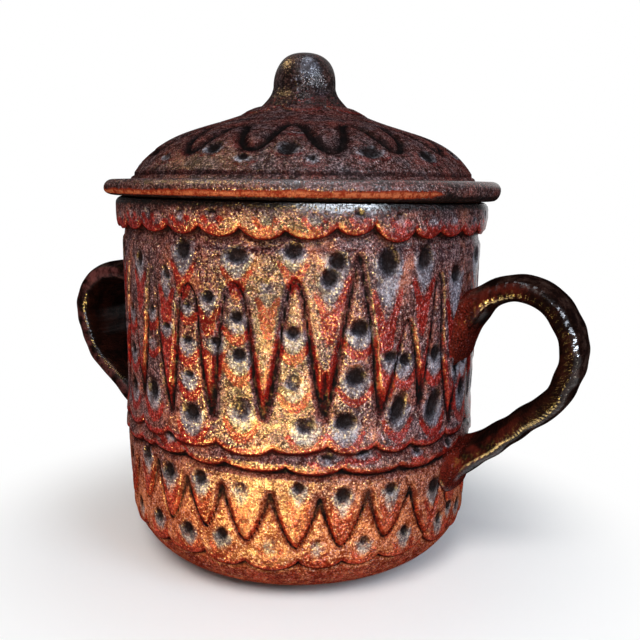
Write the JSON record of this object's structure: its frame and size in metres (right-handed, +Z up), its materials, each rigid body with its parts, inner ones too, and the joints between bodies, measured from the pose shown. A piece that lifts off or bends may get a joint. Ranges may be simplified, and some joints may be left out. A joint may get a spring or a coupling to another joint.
{
  "type": "covered ceramic jar",
  "caption": "Covered ceramic jar for dry food or sugar: round pot with a scalloped collar, strap handles at the sides and a domed lid that lifts off by its knob.",
  "frame": {"origin": "centre of the jar's foot, on the surface it stands on", "axes": "+X towards the handle that is on the right in the picture, +Z up along the axis of the jar and lid, so -Y is the jar's front square on"},
  "size_m": [0.1943, 0.1322, 0.1687],
  "materials": {
    "jar_glaze": "glossy red-brown glaze with grey speckle over red clay",
    "handle_glaze": "glossy dark brown glaze",
    "lid_glaze": "glossy red-brown glaze with grey speckle, bare clay under the rim",
    "knob_glaze": "glossy dark red-brown glaze"
  },
  "bodies": {
    "jar": {"jar_body": "jar_glaze", "handle_right": "handle_glaze", "handle_left": "handle_glaze"},
    "lid": {"lid": "lid_glaze", "lid_knob": "knob_glaze"}
  },
  "joints": [
    {"name": "lid_lift", "type": "slide", "parent": "jar", "child": "lid", "axis": [0, 0, 1], "range_m": [0, 0.06]}
  ]
}
